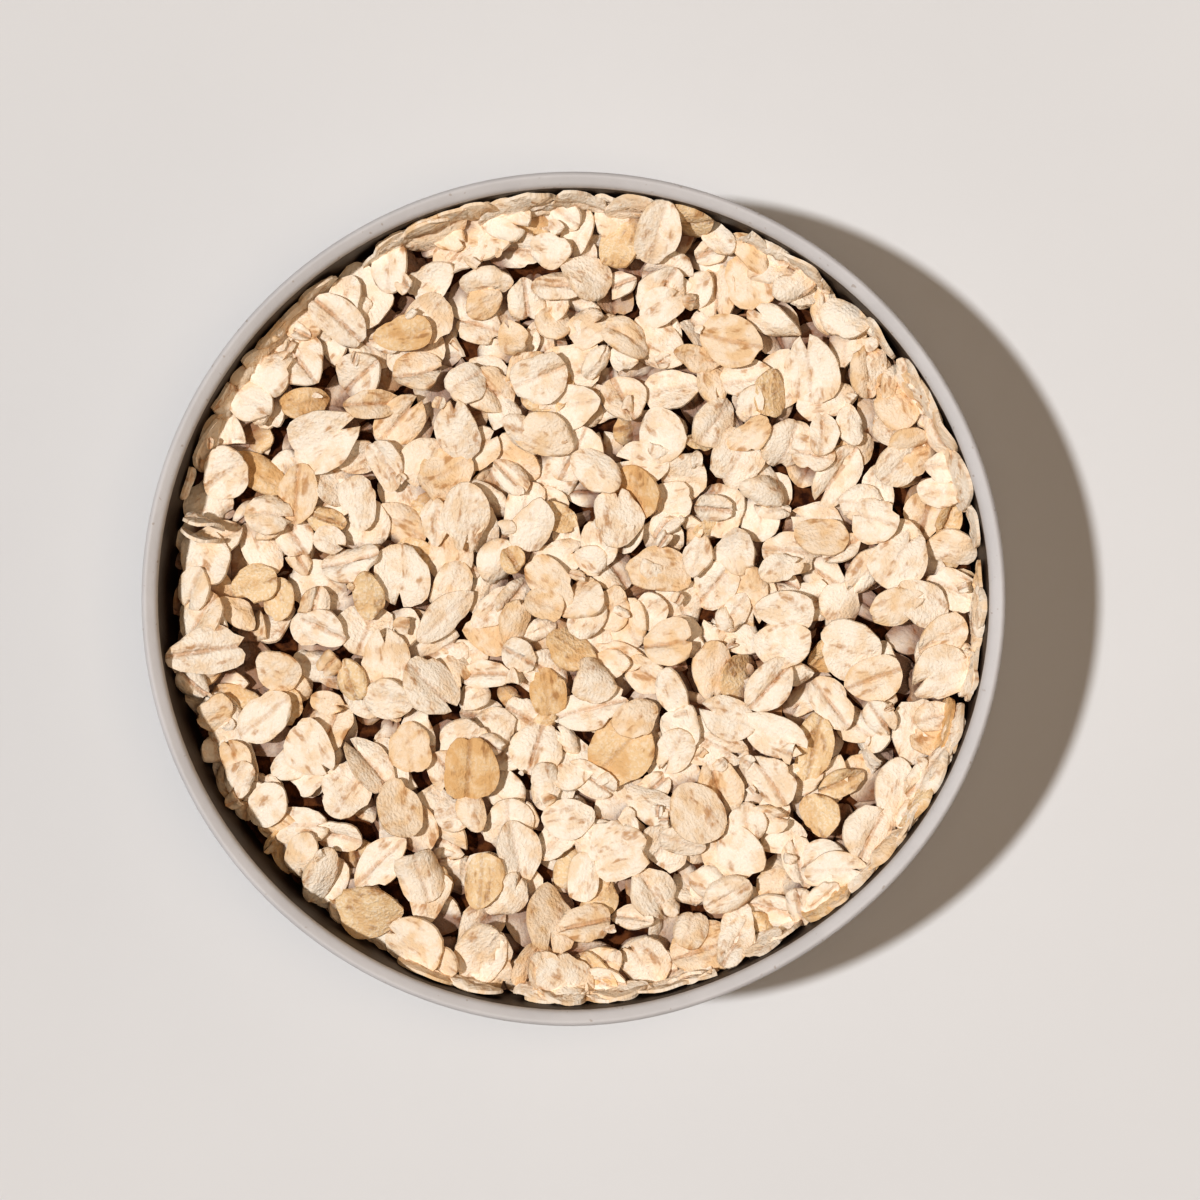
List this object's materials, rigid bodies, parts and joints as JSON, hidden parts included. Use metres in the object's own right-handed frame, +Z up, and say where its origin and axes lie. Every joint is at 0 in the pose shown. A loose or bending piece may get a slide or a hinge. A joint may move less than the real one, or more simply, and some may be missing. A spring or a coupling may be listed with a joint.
{
  "type": "bowl of rolled oats",
  "caption": "Low steep-sided stoneware bowl with a thin rounded lip and a foot ring, filled nearly to the lip with a level heap of flat oval rolled oat flakes.",
  "frame": {"origin": "middle of the circle on which the bowl's foot ring stands, level with the table", "axes": "+Z up along the bowl's axis; +Y is the top of the picture and +X its right, seen from straight above"},
  "size_m": [0.12, 0.12, 0.042],
  "materials": {
    "bowl": "stoneware in a matte, pale warm grey glaze",
    "oats": "dry rolled oats, floury and matte, cream to tan"
  },
  "bodies": {
    "root": {"bowl": "bowl", "oats": "oats"}
  },
  "joints": []
}
